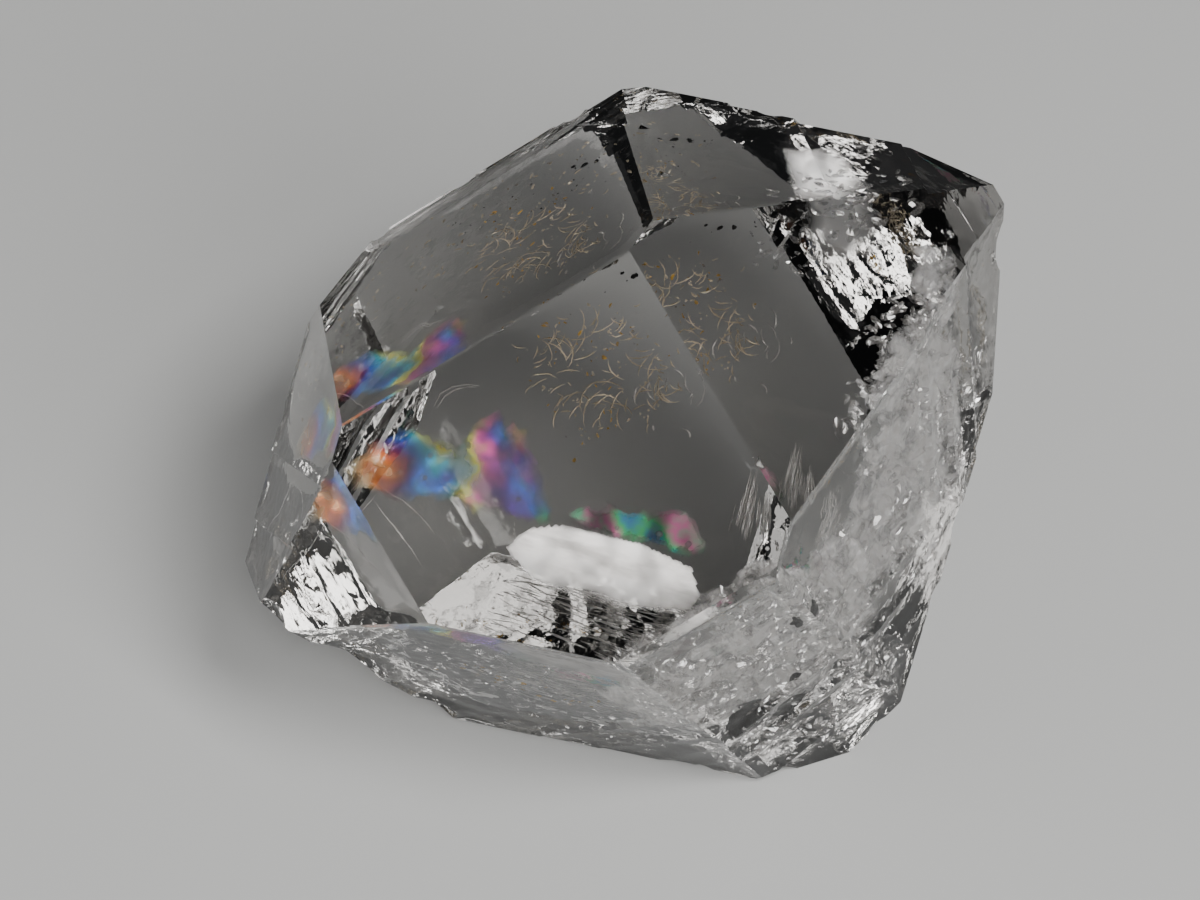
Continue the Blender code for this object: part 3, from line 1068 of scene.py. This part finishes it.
def flake_tree(material):
    """Geometry tree that scatters bent flakes over guide sheets."""
    tree, entry = geometry_tree("crack_flakes", FLAKE_SIZES)
    density = node(
        tree,
        "ShaderNodeMath",
        {0: entry["Per square mm"], 1: 1.0 / (MM * MM)},
        operation="MULTIPLY",
    ).outputs[0]
    points = node(
        tree,
        "GeometryNodeDistributePointsOnFaces",
        {"Mesh": entry["Geometry"], "Density": density, "Seed": entry["Seed"]},
    ).outputs

    disc = node(
        tree,
        "GeometryNodeMeshCircle",
        {"Vertices": FLAKE_CORNERS, "Radius": 1.0},
        fill_type="TRIANGLE_FAN",
    )
    place = node(tree, "GeometryNodeInputPosition").outputs[0]
    along = node(tree, "ShaderNodeSeparateXYZ", {"Vector": place}).outputs["X"]
    square = node(tree, "ShaderNodeMath", {0: along, 1: along}, operation="MULTIPLY").outputs[0]
    bend = node(tree, "ShaderNodeMath", {0: square, 1: FLAKE_BEND}, operation="MULTIPLY").outputs[0]
    lift = node(tree, "ShaderNodeCombineXYZ", {"Z": bend}).outputs[0]
    bent = node(tree, "GeometryNodeSetPosition", {"Geometry": disc.outputs["Mesh"], "Offset": lift})

    size = node(
        tree,
        "FunctionNodeRandomValue",
        {2: entry["Smallest mm"], 3: entry["Largest mm"], "Seed": entry["Seed"]},
        data_type="FLOAT",
    ).outputs[1]
    size = node(tree, "ShaderNodeMath", {0: size, 1: MM}, operation="MULTIPLY").outputs[0]
    narrow = node(tree, "ShaderNodeMath", {0: size, 1: entry["Narrowness"]}, operation="MULTIPLY")
    scale = node(tree, "ShaderNodeCombineXYZ", {"X": size, "Y": narrow.outputs[0], "Z": size})

    ends = {}
    for index, sign in enumerate((-1.0, 1.0)):
        end = {0: [sign * angle for angle in FULL_TURN], "Scale": entry["Turn"]}
        ends[index] = node(tree, "ShaderNodeVectorMath", end, operation="SCALE").outputs[0]
    turn = node(tree, "FunctionNodeRandomValue", {**ends, "Seed": entry["Seed"]}, data_type="FLOAT_VECTOR")
    spin = node(
        tree,
        "FunctionNodeRotateRotation",
        {"Rotation": points["Rotation"], "Rotate By": turn.outputs[0]},
        rotation_space="LOCAL",
    )
    copies = node(
        tree,
        "GeometryNodeInstanceOnPoints",
        {
            "Points": points["Points"],
            "Instance": bent.outputs[0],
            "Rotation": spin.outputs[0],
            "Scale": scale.outputs[0],
        },
    )

    # The copies are made real before they crumple, so that each one crumples in its own way.
    real = node(tree, "GeometryNodeRealizeInstances", {"Geometry": copies.outputs[0]})
    jitter = node(
        tree,
        "ShaderNodeTexNoise",
        {"Vector": place, "Scale": 1.0 / CRUMPLE_SIZE, "Detail": 2.0},
    ).outputs["Color"]
    centred = node(tree, "ShaderNodeVectorMath", {0: jitter, 1: (0.5, 0.5, 0.5)}, operation="SUBTRACT")
    reach = node(tree, "ShaderNodeMath", {0: entry["Crumple mm"], 1: 2.0 * MM}, operation="MULTIPLY")
    crumple = node(
        tree,
        "ShaderNodeVectorMath",
        {0: centred.outputs[0], "Scale": reach.outputs[0]},
        operation="SCALE",
    ).outputs[0]
    moved = node(tree, "GeometryNodeSetPosition", {"Geometry": real.outputs[0], "Offset": crumple})
    return finish_tree(tree, moved.outputs[0], material)


glint_flakes = flake_tree(glint_material)
gold_flakes = flake_tree(gold_material)
veil_flakes = flake_tree(veil_material)
carbon_flakes = flake_tree(carbon_material)
print("inputs of the flake tree:", list(FLAKE_SIZES))

# %% [markdown]
# The low side took the knocks. Swarms of small open flakes lie under its faces and near the upper
# tip, so it glitters. Each swarm follows small guide squares that have the bright tilt.

# %% Open cracks along the low side
GUIDE_SIDE = 1.3 * MM
# Distance of a face from the crystal's centre, in mm.
FACE_REACH = {"prism_low": 11.2, "upper_low": 11.0, "upper_high": 11.7, "lower_low": 10.5}
SWARM_SIZES = {"Per square mm": 3.2, "Smallest mm": 0.06, "Narrowness": 0.42, "Turn": 0.42}
SWARM_MARGIN = 0.15


def swarm_guide(face, outline, depths, count, seed):
    """Small squares under a face, each with the bright tilt, as guides for flakes."""
    random = np.random.default_rng(seed)
    half = halfway(face)
    across = half.cross(C_AXIS).normalized()
    along = across.cross(half)
    low_c, high_c, low_h, high_h = border_box(outline)
    bm = bmesh.new()
    while len(bm.faces) < count:
        c, h = random.uniform(low_c, high_c), random.uniform(low_h, high_h)
        if inside_outline(c, h, outline) < 0.0:
            continue
        f = depth_at(face, FACE_REACH[face] - random.uniform(*depths), c, h)
        corners = [(-1, -1), (1, -1), (1, 1), (-1, 1)]
        places = [inside(c, f, h) + (along * u + across * v) * 0.5 * GUIDE_SIDE for u, v in corners]
        bm.faces.new([bm.verts.new(place) for place in places])
    mesh = bpy.data.meshes.new("swarm_guide")
    bm.to_mesh(mesh)
    bm.free()
    return mesh


def swarm(name, face, outline, depths, count, seed, largest):
    """One piece of bright flakes under a face, between two depths in mm."""
    piece = add_object(name, swarm_guide(face, outline, depths, count, seed))
    make_plain(piece, glint_flakes, {**SWARM_SIZES, "Largest mm": largest, "Seed": float(seed)})
    keep_inside(piece, SWARM_MARGIN)
    sealed_piece(piece)


RIGHT_SWARM = [(3.2, -7.5), (6.0, -6.0), (8.6, -3.0), (10.2, -0.8), (12.8, -0.6), (12.6, -3.6)]
RIGHT_SWARM += [(11.4, -6.4), (8.8, -8.4), (6.2, -9.6)]
LOW_SWARM = [(-5.2, -7.6), (-2.0, -7.3), (2.0, -7.2), (5.6, -7.6), (6.0, -9.8), (3.4, -11.6)]
LOW_SWARM += [(0.4, -12.4), (-2.6, -11.8), (-4.6, -9.8)]
CORNER_SWARM = [(-3.0, -11.0), (0.5, -12.2), (4.0, -11.2), (5.6, -9.8), (5.0, -12.4), (1.5, -14.2)]
CORNER_SWARM += [(-2.0, -13.4)]
BELT_SWARM = [(-10.4, -2.4), (-8.2, -5.6), (-6.2, -8.6), (-4.2, -10.8), (-2.8, -9.8), (-4.8, -6.6)]
BELT_SWARM += [(-7.6, -3.0), (-9.6, -1.0)]
TOP_SWARM = [(8.0, 2.0), (9.6, 5.2), (11.8, 4.4), (12.8, 2.0), (11.0, 0.6)]
swarm("open_cracks_right", "upper_low", RIGHT_SWARM, (0.6, 3.4), 110, 21, 0.45)
swarm("open_cracks_low", "prism_low", LOW_SWARM, (0.5, 2.4), 120, 22, 0.36)
swarm("open_cracks_corner", "prism_low", CORNER_SWARM, (0.4, 1.6), 70, 25, 0.34)
swarm("open_cracks_belt", "lower_low", BELT_SWARM, (0.5, 2.6), 60, 24, 0.26)
swarm("open_cracks_top", "upper_high", TOP_SWARM, (0.8, 3.0), 26, 23, 0.40)

# %% [markdown]
# The edge between the broad front face and the low side is bruised. A line of fine flakes lies
# right under it. They are scattered over a strip of quads between two rows of places, which only
# guides them and does not show.

# %% Glints under the bruised edge
EDGE_SHEET = ([(-4.8, 9.3, -6.6), (3.4, 9.3, -6.6)], [(-4.4, 8.3, -7.5), (3.0, 8.3, -7.5)])
EDGE_SIZES = {"Per square mm": 9.0, "Smallest mm": 0.08, "Largest mm": 0.32, "Narrowness": 0.4}
EDGE_MARGIN = 0.12
FLAKE_MARGIN = 0.35


def guide_mesh(name, sheets):
    """Mesh of quad strips. Each sheet is two rows of places in c, f and h."""
    bm = bmesh.new()
    for first, second in sheets:
        near = [bm.verts.new(inside(*place)) for place in first]
        far = [bm.verts.new(inside(*place)) for place in second]
        for i in range(len(near) - 1):
            bm.faces.new((near[i], near[i + 1], far[i + 1], far[i]))
    mesh = bpy.data.meshes.new(name)
    bm.to_mesh(mesh)
    bm.free()
    return mesh


def flakes(name, sheets, tree, values, margin=FLAKE_MARGIN):
    """One piece of flakes scattered over sheets."""
    piece = add_object(name, guide_mesh(name, sheets))
    make_plain(piece, tree, values)
    keep_inside(piece, margin)
    sealed_piece(piece)


flakes("edge_glints", [EDGE_SHEET], glint_flakes, {**EDGE_SIZES, "Turn": 0.7, "Seed": 8.0}, EDGE_MARGIN)

# %% [markdown]
# ## Threads
#
# A healed crack closes from its walls inwards and leaves hairs of fluid. Such a hair is a thread
# that follows a path and thins out at both ends, so a second tree turns any path into one.

# %% Ribbon tree
END_WIDTH = 0.12
THREAD_SIDES = 4
THREAD_MARGIN = 0.15


def ribbon_tree(material):
    """Geometry tree that turns paths into tapered threads."""
    tree, entry = geometry_tree("crack_threads", {"Half width mm": 0.02})
    paths = node(tree, "GeometryNodeMeshToCurve", {"Mesh": entry["Geometry"]})
    along = node(tree, "GeometryNodeSplineParameter").outputs["Factor"]
    rest = node(tree, "ShaderNodeMath", {0: 1.0, 1: along}, operation="SUBTRACT").outputs[0]
    swell = node(tree, "ShaderNodeMath", {0: along, 1: rest}, operation="MULTIPLY").outputs[0]
    swell = node(tree, "ShaderNodeMath", {0: swell, 1: 4.0}, operation="MULTIPLY").outputs[0]
    taper = node(tree, "ShaderNodeMath", {0: swell, 1: END_WIDTH}, operation="ADD").outputs[0]
    width = node(tree, "ShaderNodeMath", {0: taper, 1: entry["Half width mm"]}, operation="MULTIPLY")
    profile = node(tree, "GeometryNodeCurvePrimitiveCircle", {"Resolution": THREAD_SIDES, "Radius": MM})
    thread = node(
        tree,
        "GeometryNodeCurveToMesh",
        {
            "Curve": paths.outputs[0],
            "Profile Curve": profile.outputs["Curve"],
            "Scale": width.outputs[0],
            "Fill Caps": True,
        },
    )
    return finish_tree(tree, thread.outputs[0], material)


def threads(name, paths, tree, half_width):
    """One piece of tapered threads along paths of places in c, f and h."""
    bm = bmesh.new()
    for path in paths:
        verts = [bm.verts.new(inside(*place)) for place in path]
        for first, second in zip(verts, verts[1:]):
            bm.edges.new((first, second))
    mesh = bpy.data.meshes.new(name)
    bm.to_mesh(mesh)
    bm.free()
    piece = add_object(name, mesh)
    make_plain(piece, tree, {"Half width mm": half_width})
    keep_inside(piece, THREAD_MARGIN)
    sealed_piece(piece)


veil_threads = ribbon_tree(veil_material)
mirror_threads = ribbon_tree(mirror_material)
print("thread trees:", [tree.name for tree in bpy.data.node_groups if "threads" in tree.name])

# %% [markdown]
# ## Healed veil
#
# In the middle of the crystal a healed crack left loops of small curled hairs, pale to gold. They
# are short arcs that follow one loop, with specks of dust and of rusty gold between them.

# %% Healed veil
VEIL_LOOP = [(-1.4, 4.8), (-0.1, 4.9), (1.5, 4.4), (2.8, 3.2), (3.1, 1.4), (2.5, 0.2), (1.4, 0.5)]
VEIL_LOOP += [(0.2, 0.9), (-1.0, 1.7), (-1.7, 3.2)]
CURL_LOOP = [(3.4, 1.3), (3.3, 0.8), (2.8, 0.2), (2.2, -0.3)]
CURL_POINTS = 7
CURL_FLATNESS = 0.8
CURL_SPREAD_C = 0.45
CURL_SPREAD_H = 0.40
CURL_WANDER = 0.55
CURL_SWEEP = (0.4, 1.7)
CURL_TILT = 0.6


def curls(loop, level, count, radii, seed):
    """Short arcs that follow a closed loop, like combed hairs on a ring."""
    random = np.random.default_rng(seed)
    paths = []
    for _ in range(count):
        k = int(random.integers(len(loop)))
        t = random.random()
        (c1, h1), (c2, h2) = loop[k], loop[(k + 1) % len(loop)]
        middle_c = c1 + (c2 - c1) * t + random.normal(0.0, CURL_SPREAD_C)
        middle_h = h1 + (h2 - h1) * t + random.normal(0.0, CURL_SPREAD_H)
        radius = random.uniform(*radii)
        start = math.atan2(h2 - h1, c2 - c1) - 0.5 * math.pi + random.normal(0.0, CURL_WANDER)
        sweep = random.uniform(*CURL_SWEEP)
        tilt = random.uniform(-CURL_TILT, CURL_TILT)
        path = []
        for i in range(CURL_POINTS):
            angle = start + sweep * i / (CURL_POINTS - 1.0)
            out_c, out_h = math.cos(angle) * radius, math.sin(angle) * radius
            path.append((middle_c + out_c, level + tilt * out_c, middle_h + out_h * CURL_FLATNESS))
        paths.append(path)
    return paths


threads("healed_veil", curls(VEIL_LOOP, -4.6, 110, (0.25, 1.25), 3), veil_threads, 0.030)
threads("curled_flake", curls(CURL_LOOP, -4.2, 14, (0.4, 0.9), 9), mirror_threads, 0.035)

# %% [markdown]
# Dust lies in the veil, gold flecks stand for the rusty tints in front of it and in the belt, and
# a fine haze hangs under the high side.

# %% Dust, gold and haze
VEIL_SHEET = (
    [(-1.8, -4.6, 5.2), (0.6, -4.5, 5.4), (2.9, -4.5, 4.6)],
    [(-1.9, -4.4, 0.6), (0.6, -4.3, 0.3), (3.2, -4.4, 0.2)],
)
GOLD_SHEET = (
    [(-2.2, -6.6, 5.4), (0.0, -6.5, 5.6), (2.6, -6.5, 5.2)],
    [(-2.4, -6.4, 0.2), (0.0, -6.3, 0.6), (2.9, -6.4, 1.8)],
)
BELT_SHEET = (
    [(-9.4, 1.0, -2.4), (-6.4, 1.0, -6.2), (-4.2, 1.0, -8.6)],
    [(-8.2, 3.4, -1.6), (-5.2, 3.4, -5.4), (-3.0, 3.4, -7.8)],
)
HAZE_SHEET = (
    [(-8.0, -5.0, 6.5), (-3.0, -5.5, 8.0), (2.0, -5.5, 8.0), (6.0, -4.0, 6.5)],
    [(-9.0, 2.0, 5.5), (-3.0, 3.0, 7.5), (3.0, 3.0, 7.5), (7.0, 2.0, 5.5)],
)


def specks(name, sheets, tree, density, smallest, largest, narrowness, seed):
    """One piece of specks that lie at every angle. Sizes are in mm."""
    values = {"Per square mm": density, "Smallest mm": smallest, "Largest mm": largest}
    flakes(name, sheets, tree, {**values, "Narrowness": narrowness, "Turn": 1.0, "Seed": seed})


specks("veil_dust", [VEIL_SHEET], veil_flakes, 5.0, 0.015, 0.09, 0.5, 11.0)
specks("gold_flecks", [GOLD_SHEET], gold_flakes, 2.2, 0.03, 0.13, 0.6, 4.0)
specks("gold_flecks_belt", [BELT_SHEET], gold_flakes, 2.6, 0.03, 0.14, 0.6, 12.0)
specks("high_side_haze", [HAZE_SHEET], veil_flakes, 1.5, 0.03, 0.16, 0.5, 5.0)

# %% [markdown]
# ## Streaks
#
# Low on the front side a bundle of thin streaks runs across the crystal, nearly parallel. Fibres
# stand in a pillar between the windows, and a few fine lines cross the left end.

# %% Streaks over the foot
# The bundle: its middle in c and h, its two directions, and its half length and spread in mm.
BUNDLE_MIDDLE = (-4.1, -4.7)
BUNDLE_ALONG = (0.66, -0.76)
BUNDLE_ACROSS = (0.75, 0.66)
BUNDLE_REACH = 3.6
BUNDLE_SPREAD = 0.9
BUNDLE_DEPTH = 1.5
# One streak: its length in mm, its direction and how much that varies, and its sag in mm.
STREAK_LENGTH = (0.3, 1.8)
STREAK_HEADING = -0.86
STREAK_WANDER = 0.10
STREAK_SAG = 0.12
STREAK_POINTS = 5
# The pillar: its upper and lower corner in c and h, its two widths, and its depth along f.
PILLAR_TOP = (4.4, -2.9)
PILLAR_FOOT = (1.9, -5.2)
PILLAR_TOP_WIDTH = 1.5
PILLAR_FOOT_WIDTH = (1.4, 0.9)
PILLAR_DEPTH = (1.6, 2.4)


def streaks(count, seed):
    """Nearly parallel threads across the crystal, low on the front side."""
    random = np.random.default_rng(seed)
    paths = []
    for _ in range(count):
        along, across = random.uniform(-BUNDLE_REACH, BUNDLE_REACH), random.normal(0.0, BUNDLE_SPREAD)
        length = random.uniform(*STREAK_LENGTH)
        heading = STREAK_HEADING + random.normal(0.0, STREAK_WANDER)
        start_c = BUNDLE_MIDDLE[0] + BUNDLE_ALONG[0] * along + BUNDLE_ACROSS[0] * across
        start_f = random.uniform(-BUNDLE_DEPTH, BUNDLE_DEPTH)
        start_h = BUNDLE_MIDDLE[1] + BUNDLE_ALONG[1] * along + BUNDLE_ACROSS[1] * across
        path = []
        for i in range(STREAK_POINTS):
            reach = length * i / (STREAK_POINTS - 1.0)
            sag = STREAK_SAG * math.sin(3.1 * i / (STREAK_POINTS - 1.0)) * random.uniform(0.2, 1.0)
            c, h = start_c + math.cos(heading) * reach, start_h + math.sin(heading) * reach
            path.append((c, start_f + sag, h))
        paths.append(path)
    return paths


def pillar(count, seed):
    """Fibres of a narrow pillar that stands between the two windows."""
    random = np.random.default_rng(seed)
    paths = []
    for _ in range(count):
        u, first, last = random.random(), random.uniform(0.0, 0.6), random.uniform(0.7, 1.0)
        high = Vector((PILLAR_TOP[0], random.uniform(*PILLAR_DEPTH), PILLAR_TOP[1] - PILLAR_TOP_WIDTH * u))
        low = Vector((PILLAR_FOOT[0], random.uniform(*PILLAR_DEPTH), PILLAR_FOOT[1]))
        low += Vector((PILLAR_FOOT_WIDTH[0], 0.0, -PILLAR_FOOT_WIDTH[1])) * u
        shares = [first + (last - first) * i / (STREAK_POINTS - 1.0) for i in range(STREAK_POINTS)]
        paths.append([tuple(high.lerp(low, share)) for share in shares])
    return paths


END_LINES = [
    [(-12.2, 0.0, 2.2), (-11.4, 0.1, 2.3), (-10.6, 0.0, 2.4), (-9.6, -0.1, 2.7), (-8.6, 0.0, 3.0)],
    [(-9.0, 0.0, 4.0), (-8.5, 0.1, 3.2), (-8.0, 0.0, 2.3), (-7.7, -0.1, 1.4), (-7.5, 0.0, 0.3)],
    [(-8.9, 0.4, 2.9), (-8.8, 0.4, 2.1), (-8.7, 0.3, 1.4), (-8.6, 0.3, 0.6), (-8.6, 0.2, -0.3)],
    [(-4.9, 2.0, 4.6), (-4.4, 2.0, 4.9), (-3.9, 2.0, 4.9), (-3.4, 2.0, 4.7), (-3.0, 2.0, 4.4)],
    [(-4.8, 2.0, 4.5), (-4.3, 2.0, 4.75), (-3.8, 2.0, 4.75), (-3.4, 2.0, 4.6), (-3.1, 2.0, 4.4)],
]
threads("foot_streaks", streaks(190, 14) + pillar(45, 15) + END_LINES, mirror_threads, 0.032)

# %% [markdown]
# ## Carbon grains
#
# Bitumen that was trapped while the quartz grew is now brittle carbon. Each grain is a lobed
# lump, so it is a small ball whose points are pushed by noise. Dust of the same stuff lies in
# swarms under the high faces.

# %% Carbon grains
# Place in c, f and h, half sizes along them, and the seed of the lobes.
GRAINS = (
    ((-1.5, 0.6, -10.6), (0.88, 0.70, 0.80), 11.0),
    ((-1.0, 0.9, -10.0), (0.50, 0.45, 0.55), 17.0),
    ((0.2, 0.5, -11.3), (0.58, 0.45, 0.45), 23.0),
    ((2.8, 5.0, -8.4), (0.26, 0.20, 0.30), 31.0),
    ((1.2, 2.0, -10.4), (0.22, 0.20, 0.22), 37.0),
    ((3.5, -6.0, 5.1), (0.17, 0.12, 0.09), 41.0),
    ((4.0, -6.1, 4.8), (0.09, 0.07, 0.11), 47.0),
    ((3.1, -5.8, 5.5), (0.10, 0.07, 0.06), 53.0),
)
BIG_LOBES = (0.55, 1.4)
SMALL_LOBES = (0.16, 5.0)
GRAIN_MARGIN = 0.1
HIGH_DUST = (
    [(-2.0, -4.0, 7.6), (3.0, -4.0, 7.2), (7.0, -3.0, 5.4)],
    [(-2.0, 3.0, 8.2), (3.0, 3.0, 8.0), (7.5, 2.0, 5.6)],
)
GRAIN_DUST = ([(2.0, -6.2, 5.8), (5.5, -5.8, 4.6)], [(2.0, -5.6, 4.9), (5.5, -5.4, 4.0)])


def make_grains():
    """Lobed grains of carbon, as closed meshes."""
    bm = bmesh.new()
    for place, radii, seed in GRAINS:
        made = bmesh.ops.create_icosphere(bm, subdivisions=4, radius=1.0)
        for vert in made["verts"]:
            way = vert.co.normalized()
            lobes = 1.0 + BIG_LOBES[0] * noise.noise(way * BIG_LOBES[1] + Vector((seed, 0.0, 0.0)))
            lobes += SMALL_LOBES[0] * noise.noise(way * SMALL_LOBES[1] + Vector((0.0, seed, 0.0)))
            c, f, h = (way[i] * radii[i] * lobes + place[i] for i in range(3))
            vert.co = inside(c, f, h)
    for face in bm.faces:
        face.smooth = True
    mesh = bpy.data.meshes.new("carbon_grains")
    bm.to_mesh(mesh)
    bm.free()
    grains = add_object("carbon_grains", mesh)
    keep_inside(grains, GRAIN_MARGIN)
    sealed_piece(grains, carbon_material)


make_grains()
specks("carbon_dust", [HIGH_DUST, GRAIN_DUST], carbon_flakes, 1.6, 0.015, 0.075, 0.6, 6.0)

# %% [markdown]
# ## Stage
#
# The crystal lies on a plain pale floor. A soft key stands at the right, and broad panels fill
# from the right and the left. Four small cards stand where the crystal's inner mirrors look: in
# front, low in front, at the right for the white area over the foot, and at the left. The floor
# behind stays in the crystal's own shadow, which is what makes its windows dark.

# %% Stage
FLOOR_GAP = 0.04 * MM
FLOOR_SIZE = 2.0
LIGHT_HEIGHT = 0.01
# Name, azimuth, elevation, distance and size in metres, and power in watts.
LIGHTS = (
    ("key", 131.0, 60.0, 0.45, (0.15, 0.13), 1.25),
    ("front_card", *FRONT_CARD, 0.45, (0.09, 0.09), 0.36),
    ("right_panel", 147.0, 31.0, 0.45, (0.34, 0.28), 1.15),
    ("slab_card", 138.0, 24.0, 0.40, (0.10, 0.12), 0.06),
    ("low_card", 176.0, 14.0, 0.40, (0.16, 0.06), 0.20),
    ("left_card", -158.0, 26.0, 0.45, (0.08, 0.12), 0.05),
    ("left_panel", -108.0, 24.0, 0.45, (0.26, 0.24), 0.30),
)
ROOM_LIGHT = 0.08


def make_floor():
    """Plain matt floor, a hair under the crystal."""
    bpy.ops.mesh.primitive_plane_add(size=FLOOR_SIZE, location=(0.0, 0.0, -FLOOR_GAP))
    floor = bpy.context.object
    floor.name = "floor"
    material, _ = new_material("pale_floor", {"Base Color": srgb("#c9c9c7"), "Roughness": 0.7})
    floor.data.materials.append(material)


def area_light(name, azimuth, elevation, distance, size, power):
    """Softbox that looks at the crystal."""
    data = bpy.data.lights.new(name, "AREA")
    data.shape = "RECTANGLE"
    data.size, data.size_y = size
    data.energy = power
    light = bpy.data.objects.new(name, data)
    bpy.context.scene.collection.objects.link(light)
    way = compass_way(azimuth, elevation)
    light.location = way * distance + Vector((0.0, 0.0, LIGHT_HEIGHT))
    light.rotation_mode = "QUATERNION"
    light.rotation_quaternion = way.to_track_quat("Z", "Y")


def make_room():
    """Faint even light from all around."""
    world = bpy.data.worlds.new("room")
    bpy.context.scene.world = world
    world.use_nodes = True
    back = world.node_tree.nodes["Background"]
    back.inputs["Color"].default_value = srgb("#dfe2e6")
    back.inputs["Strength"].default_value = ROOM_LIGHT


make_floor()
for light in LIGHTS:
    area_light(*light)
make_room()
print("lights:", len(LIGHTS), "with", round(sum(light[-1] for light in LIGHTS), 2), "watts")
